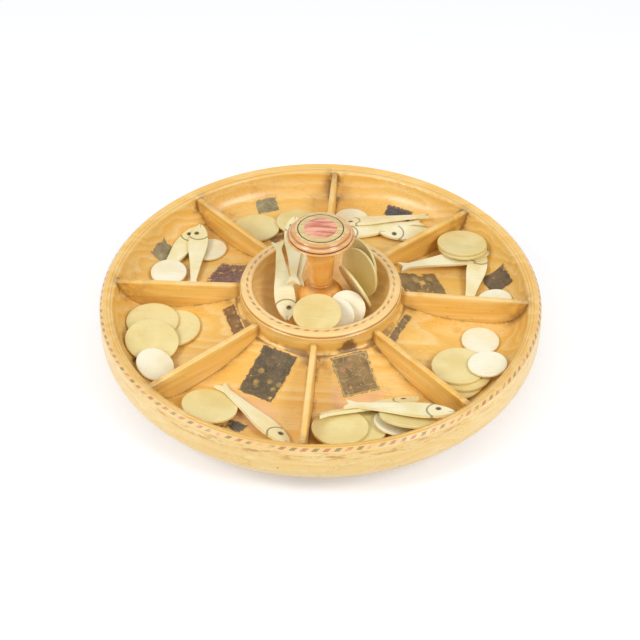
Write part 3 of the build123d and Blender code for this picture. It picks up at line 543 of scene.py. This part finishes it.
def paper(name, deg, middle_r, size, ground, flower, leaf, holes=0.45, blossom=0.0065, framed=0.3, strength=0.6):
    """A worn printed paper of a given reach and width, its middle at a radius and an angle."""
    material, tree, shader = finish_named(name)
    along = placed(tree, (1, 1, 1), (0, 0, math.radians(-deg)), (-middle_r, 0, 0))
    soft = cloudy(tree, along, 0.012, 4.0, 0.65)
    colour = blend_colours(tree, step_up(tree, soft, 0.35, 0.65), ground, blend3(ground, (0, 0, 0), 0.45))
    stems = sums(tree, "ABSOLUTE", sums(tree, "SUBTRACT", cloudy(tree, along, 0.006, 1.0, 0.4, 0.8), 0.5))
    stem = sums(tree, "SUBTRACT", 1.0, step_up(tree, stems, 0.008, 0.03))
    colour = blend_colours(tree, sums(tree, "MULTIPLY", stem, 0.55 * strength), colour, leaf)
    spots = cells(tree, along, blossom)
    petals = sums(tree, "SUBTRACT", 1.0, step_up(tree, spots, 0.16, 0.34))
    heart = sums(tree, "SUBTRACT", 1.0, step_up(tree, spots, 0.05, 0.1))
    faded = step_up(tree, cloudy(tree, along, 0.008, 2.0), 0.35, 0.6)
    colour = blend_colours(tree, sums(tree, "MULTIPLY", sums(tree, "MULTIPLY", petals, faded), strength), colour, flower)
    colour = blend_colours(tree, sums(tree, "MULTIPLY", heart, faded), colour, blend3(flower, (0.1, 0.05, 0.02), 0.6))
    parts = tree.nodes.new("ShaderNodeSeparateXYZ")
    feed(tree, parts.inputs[0], along)
    to_end = sums(tree, "SUBTRACT", size[0] / 2, sums(tree, "ABSOLUTE", parts.outputs[0]))
    to_side = sums(tree, "SUBTRACT", size[1] / 2, sums(tree, "ABSOLUTE", parts.outputs[1]))
    to_edge = sums(tree, "MINIMUM", to_end, to_side)
    frame_line = band(tree, to_edge, 0.0013, 0.0019, 0.0002)
    colour = blend_colours(tree, sums(tree, "MULTIPLY", frame_line, framed), colour, blend3(leaf, (0, 0, 0), 0.1))
    dust = step_up(tree, cloudy(tree, along, 0.0015, 4.0, 0.7), 0.5, 0.7)
    colour = blend_colours(tree, sums(tree, "MULTIPLY", dust, 0.3), colour, srgb("C9A468"))
    rubbed = step_up(tree, cloudy(tree, placed(tree, move=(0.4, deg * 0.02, 0)), 0.009, 5.0, 0.75), holes + 0.1, holes + 0.2)
    wander = sums(tree, "MULTIPLY", cloudy(tree, along, 0.004, 4.0, 0.7), 4 * PAPER_EDGE)
    torn = sums(tree, "SUBTRACT", 1.0, step_up(tree, sums(tree, "SUBTRACT", to_edge, wander), -1.6 * PAPER_EDGE, -0.9 * PAPER_EDGE))
    colour = blend_colours(tree, sums(tree, "MAXIMUM", rubbed, torn), colour, srgb("F0C068"))
    feed(tree, shader.inputs["Base Color"], colour)
    shader.inputs["Roughness"].default_value = 0.5
    bumped(tree, shader, soft, 0.0002)
    return material


OLIVE_DARK = srgb("6A5D45")
OLIVE = srgb("9C7F50")
GREY_BROWN = srgb("8F7650")
BROWN = srgb("9A6E40")
SLATE = srgb("5C564E")
GOLD = srgb("CDA75C")
PINK = srgb("CF8E70")
CREAM = srgb("E0C890")
PLUM = srgb("86605A")

# pocket: reach and width in metres, ground, flower, leaf, holes, blossom, frame, strength
HUB_PAPERS = {
    1: ((0.035, 0.025), OLIVE_DARK, GOLD, GREY_BROWN, 0.5, 0.0075, 0.2, 0.65),
    2: ((0.028, 0.0245), OLIVE, PINK, CREAM, 0.47, 0.006, 0.55, 0.6),
    3: ((0.006, 0.027), GREY_BROWN, CREAM, SLATE, 0.45, 0.005, 0.0, 0.4),
    4: ((0.031, 0.025), OLIVE, CREAM, SLATE, 0.44, 0.009, 0.2, 0.35),
    6: ((0.031, 0.025), BROWN, CREAM, GOLD, 0.42, 0.008, 0.3, 0.4),
    7: ((0.028, 0.025), PLUM, srgb("B4604E"), CREAM, 0.47, 0.0065, 0.3, 0.6),
    8: ((0.009, 0.028), BROWN, CREAM, SLATE, 0.5, 0.005, 0.6, 0.4),
}
for pocket, (size, ground, flower, leaf, *rest) in HUB_PAPERS.items():
    deg = -90 + 45 * (pocket - 1.5)
    middle_r = HUB_PAPER_START + size[0] / 2
    dress(paper(f"hub paper {pocket}", deg, middle_r, size, ground, flower, leaf, *rest), f"hub_label_{pocket}")

# pocket: angle, distance from the wall, reach and width, then as above
RIM_PAPERS = {
    1: (-112, 0.018, (0.010, 0.015), SLATE, GOLD, CREAM, 0.45, 0.006, 0.2, 0.4),
    4: (18, 0.0115, (0.016, 0.020), srgb("7A664E"), GOLD, SLATE, 0.55, 0.006, 0.0, 0.3),
    5: (66.6, 0.0135, (0.010, 0.021), srgb("4E4C54"), srgb("7A6A60"), BROWN, 0.62, 0.007, 0.5, 0.3),
    6: (113.2, 0.0125, (0.012, 0.017), srgb("97906C"), PINK, CREAM, 0.6, 0.006, 0.1, 0.5),
    7: (156, 0.010, (0.012, 0.018), srgb("A69670"), srgb("C9BE94"), SLATE, 0.52, 0.006, 0.0, 0.5),
    8: (-154, 0.008, (0.008, 0.020), BROWN, CREAM, SLATE, 0.42, 0.006, 0.2, 0.4),
}
for pocket, (deg, from_wall, size, ground, flower, leaf, *rest) in RIM_PAPERS.items():
    middle_r = WALL_R - from_wall
    dress(paper(f"rim paper {pocket}", deg, middle_r, size, ground, flower, leaf, *rest), f"rim_label_{pocket}")

# %% [markdown]
# ## Bone
#
# The counters are sawn from bone and polished. New bone is ivory white; handled bone goes
# cream, then a greenish yellow. Fine short lines run one way through it. Light enters a
# little way, so the shadows inside a pile are warm, and a touch of subsurface gives that.

# %% Counters
def bone(name, pale, tint, turn=0.0):
    material, tree, shader = finish_named(name)
    lines = cloudy(tree, placed(tree, (0.05, 1, 1), (0, 0, math.radians(turn)), (turn * 0.013, 0, 0)), 0.0009, 2.0, 0.6)
    soft = cloudy(tree, placed(tree, move=(turn * 0.01, 0.2, 0)), 0.018, 3.0)
    colour = blend_colours(tree, step_up(tree, soft, 0.35, 0.7), pale, tint)
    streak = sums(tree, "MULTIPLY", step_up(tree, lines, 0.55, 0.72), 0.22)
    colour = blend_colours(tree, streak, colour, blend3(tint, srgb("A98A4A"), 0.5))
    feed(tree, shader.inputs["Base Color"], colour)
    shader.inputs["Roughness"].default_value = 0.34
    shader.inputs["Subsurface Weight"].default_value = 0.12
    shader.inputs["Subsurface Radius"].default_value = (0.002, 0.0013, 0.0007)
    shader.inputs["Coat Weight"].default_value = 0.15
    shader.inputs["Coat Roughness"].default_value = 0.2
    bumped(tree, shader, lines, 0.00003)
    return material, tree, shader, colour


large_bone = bone("aged bone", srgb("EFDFA2"), srgb("E5D08A"), 20)[0]
small_bone = bone("pale bone", srgb("F9F5DC"), srgb("F2E9C4"), 70)[0]
fish_bone, tree, shader, colour = bone("fish bone", srgb("FAF2CC"), srgb("EFE2A8"), 135)
for name in nodes:
    if "large_counters" in name or name.startswith("medium_counter"):
        dress(large_bone, name)
    elif "small_counters" in name:
        dress(small_bone, name)
    elif name.startswith(("fish_", "broken_tail")):
        dress(fish_bone, name)

# %% [markdown]
# ## The marks on the fish
#
# Each fish has an inked ring round its eye, an inked gill and a nick for its mouth. The
# fish lie in all directions, so a pattern that reads Object coordinates can't find their
# heads. A copy of each fish gets its own measure instead: an attribute that says how far
# every point is behind the nose, and how far above the middle line. The nose is the
# narrower end, and the side of the drilled eye is up. The copy then stands for the fish.

# %% Fish with inked marks
def islands(solid):
    """The separate closed pieces of a mesh, as lists of vertices."""
    found = []
    seen = [False] * len(solid.verts)
    for first in solid.verts:
        if seen[first.index]:
            continue
        seen[first.index] = True
        island = [first]
        for vert in island:
            for edge in vert.link_edges:
                other = edge.other_vert(vert)
                if not seen[other.index]:
                    seen[other.index] = True
                    island.append(other)
        found.append(island)
    return found


END_REACH = 0.0009     # points this near an end belong to it
EYE_BACK = 0.0095      # eye behind the nose
EYE_UP = 0.0016


def end_of(island, tip, inward, side):
    """Middle and width of the outline at one end."""
    near = [v.co for v in island if (v.co - tip).dot(inward) < END_REACH]
    offs = [(p - tip).dot(side) for p in near]
    middle = tip + side * (max(offs) + min(offs)) / 2
    return middle, max(offs) - min(offs)


def measure_fish(island, layer):
    """Write each point's distance behind the nose, above the middle line and off the face."""
    centre = sum((v.co for v in island), Vector()) / len(island)
    first = max(island, key=lambda v: (v.co - centre).length).co.copy()
    second = max(island, key=lambda v: (v.co - first).length).co.copy()
    faces = {face for v in island for face in v.link_faces}
    normal = max(faces, key=lambda face: (round(face.calc_area(), 12), -face.index)).normal.copy()
    along = (second - first).normalized()
    ends = [end_of(island, first, along, normal.cross(along)), end_of(island, second, -along, normal.cross(along))]
    (nose, _), (tail, _) = sorted(ends, key=lambda end: end[1])
    along = (tail - nose).normalized()
    side = normal.cross(along).normalized()
    eye = [(v.co - nose).dot(side) for v in island if abs((v.co - nose).dot(along) - EYE_BACK) < 0.0011
           and 0.0004 < abs((v.co - nose).dot(side)) < 0.0029]
    if sum(eye) < 0:
        side = -side
    for v in island:
        v[layer] = ((v.co - nose).dot(along), (v.co - nose).dot(side), (v.co - nose).dot(normal))
    return (tail - nose).length


def mark_fish(name):
    """A merged copy of a node's fish that carries the measure, in the node's place."""
    piece = bpy.data.objects.new("marked_" + name, nodes[name].data.copy())
    bpy.context.scene.collection.objects.link(piece)
    solid = bmesh.new()
    solid.from_mesh(piece.data)
    bmesh.ops.remove_doubles(solid, verts=solid.verts, dist=2e-6)
    solid.verts.index_update()
    solid.faces.index_update()
    layer = solid.verts.layers.float_vector.new("behind_nose")
    lengths = [measure_fish(island, layer) for island in islands(solid)]
    for face in solid.faces:
        face.smooth = True
    for edge in solid.edges:
        if edge.is_manifold:
            edge.smooth = edge.calc_face_angle() < math.radians(30)
    solid.to_mesh(piece.data)
    solid.free()
    piece.data.materials.clear()
    piece.data.materials.append(marked_bone)
    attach(piece, nodes[name]["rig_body"])
    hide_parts(name)
    print(piece.name, "has fish of", [round(1000 * length, 1) for length in lengths], "mm")


marked_bone, tree, shader, colour = bone("marked fish bone", srgb("FAF2CC"), srgb("EFE2A8"), 135)
measure = tree.nodes.new("ShaderNodeAttribute")
measure.attribute_name = "behind_nose"
parts = tree.nodes.new("ShaderNodeSeparateXYZ")
feed(tree, parts.inputs[0], measure.outputs["Vector"])
back, up, off_face = parts.outputs


def ring_round(centre_back, centre_up):
    """Distance from a point of the fish's side."""
    a = sums(tree, "SUBTRACT", back, centre_back)
    b = sums(tree, "SUBTRACT", up, centre_up)
    return sums(tree, "SQRT", sums(tree, "ADD", sums(tree, "MULTIPLY", a, a), sums(tree, "MULTIPLY", b, b)))


eye = sums(tree, "SUBTRACT", 1.0, step_up(tree, ring_round(EYE_BACK, EYE_UP), 0.0015, 0.0021))
gill = sums(tree, "MULTIPLY", band(tree, ring_round(EYE_BACK - 0.001, 0.0), 0.0070, 0.0081, 0.0003),
            step_up(tree, back, 0.0100, 0.0115))
mouth = sums(tree, "MULTIPLY", band(tree, up, -0.0007, -0.0002, 0.0002),
             sums(tree, "SUBTRACT", 1.0, step_up(tree, back, 0.0030, 0.0040)))
ink = sums(tree, "ADD", sums(tree, "MULTIPLY", eye, 0.8), sums(tree, "MULTIPLY", gill, 0.55))
ink = sums(tree, "ADD", ink, sums(tree, "MULTIPLY", mouth, 0.6), clamp=True)
feed(tree, shader.inputs["Base Color"], blend_colours(tree, ink, colour, srgb("3E352C")))
for name in sorted(nodes):
    if name.startswith("fish_"):
        mark_fish(name)

# %% [markdown]
# ## Under the tray
#
# Turned over, the board shows what holds it on its foot: a brass washer and a steel screw
# in the recess. A leather washer between foot and tray lets it turn quietly.

# %% Leather, brass and steel
def plain_finish(name, colour, dark, size, metallic, rough):
    material, tree, shader = finish_named(name)
    marks = cloudy(tree, placed(tree), size, 4.0, 0.65)
    feed(tree, shader.inputs["Base Color"], blend_colours(tree, step_up(tree, marks, 0.35, 0.7), colour, dark))
    shader.inputs["Metallic"].default_value = metallic
    shader.inputs["Roughness"].default_value = rough
    bumped(tree, shader, marks, 0.00005)
    return material


dress(plain_finish("greased leather", srgb("6A452C"), srgb("3A2518"), 0.002, 0.0, 0.6), "bearing_washer")
dress(plain_finish("dull brass", srgb("B8954E"), srgb("7A6030"), 0.004, 1.0, 0.35), "retaining_washer")
dress(plain_finish("old steel", srgb("8A8784"), srgb("4A4644"), 0.003, 1.0, 0.4), "retaining_screw")

# %% [markdown]
# ## Camera, light and floor
#
# The photograph looks down at about 42 degrees from a little right of the front, through a
# long lens. Two soft boxes stand left and right in front, which is why the knob's edge has
# two bright spots. The floor is white, and keeps only a soft shadow.

# %% Camera
camera = bpy.data.objects.new("camera", bpy.data.cameras.new("camera"))
bpy.context.scene.collection.objects.link(camera)
camera.location = (0.0455, -0.5809, 0.5339)
camera.rotation_euler = (math.radians(90 - 41.70), math.radians(-0.05), math.radians(4.44))
camera.data.lens = 67.6
camera.data.sensor_width = 36
camera.data.shift_x = -0.003
bpy.context.scene.camera = camera
print("the camera is", round(camera.location.length, 3), "m from the foot")

# %% Lights and floor
def soft_box(name, place, size, watts):
    """A square soft light that faces the middle of the tray."""
    light = bpy.data.objects.new(name, bpy.data.lights.new(name, "AREA"))
    light.data.shape = "SQUARE"
    light.data.size = size
    light.data.energy = watts
    light.location = place
    light.rotation_euler = (Vector(place) - Vector((0, 0, 0.04))).to_track_quat("Z", "Y").to_euler()
    bpy.context.scene.collection.objects.link(light)


soft_box("left box", (-0.62, -0.42, 0.72), 0.34, 3.6)
soft_box("right box", (0.62, -0.42, 0.72), 0.34, 3.6)

world = bpy.data.worlds.new("studio")
world.use_nodes = True
world.node_tree.nodes["Background"].inputs["Color"].default_value = (1, 1, 1, 1)
world.node_tree.nodes["Background"].inputs["Strength"].default_value = 0.62
bpy.context.scene.world = world
bpy.context.scene.view_settings.view_transform = "Standard"

floor_mesh = bmesh.new()
bmesh.ops.create_grid(floor_mesh, x_segments=1, y_segments=1, size=4.0)
floor_data = bpy.data.meshes.new("floor")
floor_mesh.to_mesh(floor_data)
floor_mesh.free()
floor = bpy.data.objects.new("floor", floor_data)
bpy.context.scene.collection.objects.link(floor)
material, tree, shader = finish_named("white floor")
shader.inputs["Base Color"].default_value = (0.78, 0.795, 0.82, 1)
shader.inputs["Roughness"].default_value = 0.9
shader.inputs["Specular IOR Level"].default_value = 0.0
rays = tree.nodes.new("ShaderNodeLightPath")
seen = sums(tree, "MAXIMUM", rays.outputs["Is Camera Ray"], rays.outputs["Is Glossy Ray"])
feed(tree, shader.inputs["Emission Strength"], sums(tree, "MULTIPLY", seen, 0.32))
shader.inputs["Emission Color"].default_value = (1, 1, 1, 1)
floor.data.materials.append(material)
floor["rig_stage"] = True

# %% Finish
low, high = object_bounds()
print("dressed, the board measures", [round(1000 * v, 1) for v in high - low], "mm")
